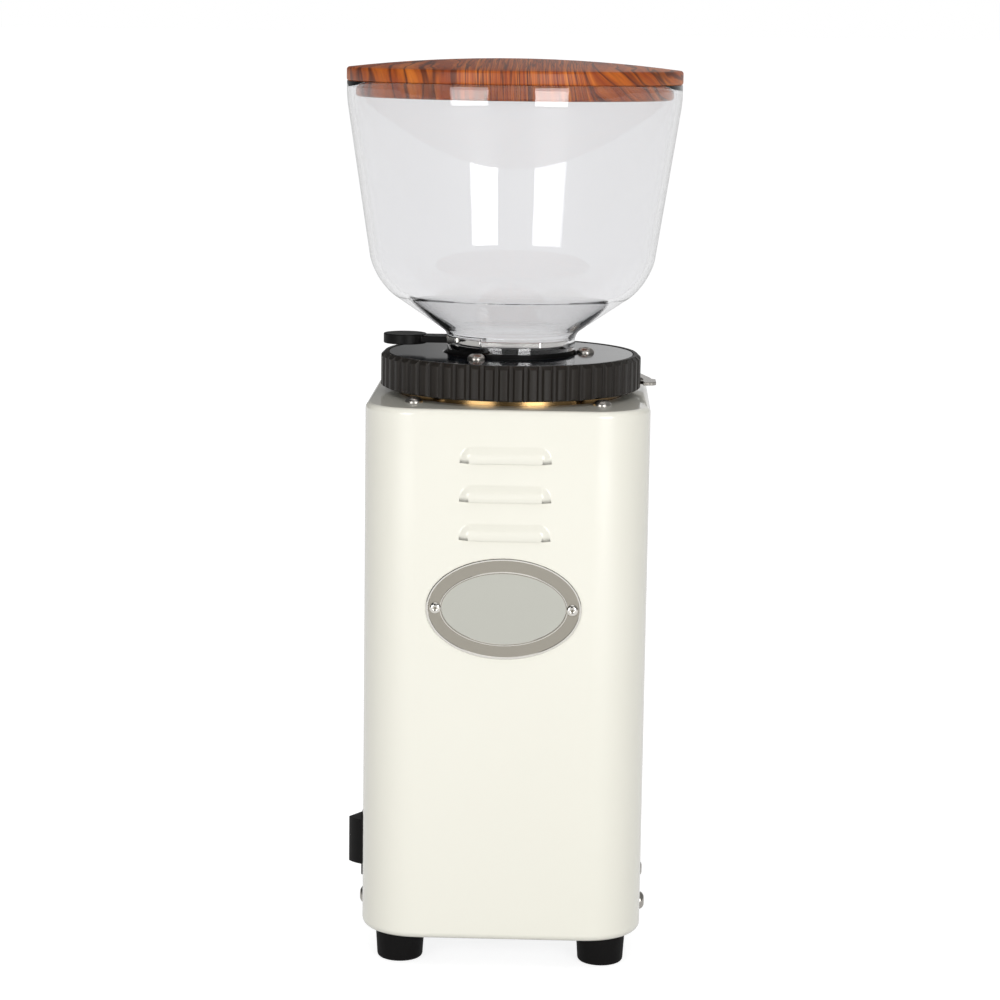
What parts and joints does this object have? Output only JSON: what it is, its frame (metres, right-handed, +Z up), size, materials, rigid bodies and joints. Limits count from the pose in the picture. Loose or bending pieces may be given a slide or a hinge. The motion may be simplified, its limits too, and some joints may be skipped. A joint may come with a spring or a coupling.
{
  "type": "espresso grinder",
  "caption": "Electric espresso grinder: slim cream housing, fluted adjusting collar over flat burrs, clear hopper with shutter and wooden lid, chute and filter-holder fork.",
  "frame": {"origin": "on the table, under the middle of the overall length and width", "axes": "+Z up, +Y towards the chute and fork, the louvred rear face looks along -Y; the burr axis is 25.7 mm behind the origin"},
  "size_m": [0.1434, 0.1947, 0.3835],
  "materials": {
    "cream_paint": "smooth cream enamel, semi gloss",
    "zinc_steel": "zinc-plated sheet",
    "black_rubber": "matt black rubber",
    "bright_screw": "bright plated fasteners",
    "satin_nickel": "satin nickel-silver sheet, darker border",
    "black_plastic": "moulded black plastic",
    "pale_plastic": "pale grey moulded plastic",
    "cast_aluminium": "machined die casting",
    "core_steel": "stacked core sheets",
    "enamelled_copper": "varnished winding wire",
    "bright_steel": "ground steel",
    "hard_steel": "hardened tool steel",
    "yellow_brass": "machined brass",
    "black_anodised": "black anodised, satin",
    "black_gloss": "mirror-gloss black",
    "clear_plastic": "clear moulded plastic",
    "olive_wood": "oiled wood, streaked grain",
    "polished_aluminium": "polished casting",
    "black_coated_steel": "black powder coat"
  },
  "bodies": {
    "housing": {"body_shell": "cream_paint", "base_plate": "zinc_steel", "capacitor_clip": "zinc_steel", "tray_shelf": "zinc_steel", "foot_rear_left": "black_rubber", "foot_rear_right": "black_rubber", "foot_front_left": "black_rubber", "foot_front_right": "black_rubber", "cord_bush": "black_rubber", "shaft_seal": "black_rubber", "foot_screws": "bright_screw", "base_screws": "bright_screw", "chamber_screws": "bright_screw", "chute_screws": "bright_screw", "fork_screws": "bright_screw", "motor_bolts": "bright_screw", "latch_pivot": "bright_screw", "plate_rivets": "bright_screw", "name_plate": "satin_nickel", "switch_frame": "black_plastic", "start_microswitch": "black_plastic", "terminal_block": "pale_plastic", "run_capacitor": "pale_plastic", "upper_bell": "cast_aluminium", "lower_bell": "cast_aluminium", "burr_chamber": "cast_aluminium", "motor_stator": "core_steel", "motor_windings": "enamelled_copper", "upper_bearing": "bright_steel", "lower_bearing": "bright_steel", "button_bezel": "bright_steel", "thread_ring": "yellow_brass", "grounds_chute": "polished_aluminium", "filter_fork": "black_coated_steel"},
    "collar": {"burr_carrier": "cast_aluminium", "adjusting_collar": "black_anodised", "top_disc": "black_gloss", "disc_screws": "bright_screw", "neck_gasket": "black_rubber", "upper_burr": "hard_steel"},
    "spindle": {"motor_shaft": "bright_steel", "motor_rotor": "core_steel", "cooling_fan": "black_plastic", "sweeper_carrier": "bright_steel", "lower_burr": "hard_steel", "burr_nut": "bright_steel"},
    "hopper_body": {"hopper": "clear_plastic"},
    "shutter_body": {"shutter": "black_plastic"},
    "lid_body": {"hopper_lid": "olive_wood"},
    "rocker_body": {"switch_rocker": "black_plastic"},
    "button_body": {"start_button": "bright_steel"},
    "latch_body": {"collar_latch": "bright_steel"},
    "tray_body": {"catch_tray": "black_plastic"}
  },
  "joints": [
    {"name": "collar_turn", "type": "hinge", "parent": "housing", "child": "collar", "pos_m": [0, -0.0257, 0.251], "axis": [0, 0, 1], "range_deg": [-180, 180]},
    {"name": "burr_spin", "type": "hinge", "parent": "housing", "child": "spindle", "pos_m": [0, -0.0257, 0.15], "axis": [0, 0, 1], "continuous": true},
    {"name": "hopper_lift", "type": "slide", "parent": "collar", "child": "hopper_body", "axis": [0, 0, 1], "range_m": [0, 0.03]},
    {"name": "shutter_slide", "type": "slide", "parent": "hopper_body", "child": "shutter_body", "axis": [-1, 0, 0], "range_m": [0, 0.044]},
    {"name": "lid_lift", "type": "slide", "parent": "hopper_body", "child": "lid_body", "axis": [0, 0, 1], "range_m": [0, 0.04]},
    {"name": "switch_rock", "type": "hinge", "parent": "housing", "child": "rocker_body", "pos_m": [-0.056, -0.0382, 0.044], "axis": [0, 0, 1], "range_deg": [0, 32]},
    {"name": "button_press", "type": "slide", "parent": "housing", "child": "button_body", "axis": [0, -1, 0], "range_m": [0, 0.004], "stiffness_N_per_m": 400},
    {"name": "latch_swing", "type": "hinge", "parent": "housing", "child": "latch_body", "pos_m": [0.0505, 0.0208, 0.2445], "axis": [0, 0, 1], "range_deg": [0, 6], "stiffness_Nm_per_rad": 0.4},
    {"name": "tray_slide", "type": "slide", "parent": "housing", "child": "tray_body", "axis": [0, 1, 0], "range_m": [0, 0.05]}
  ]
}
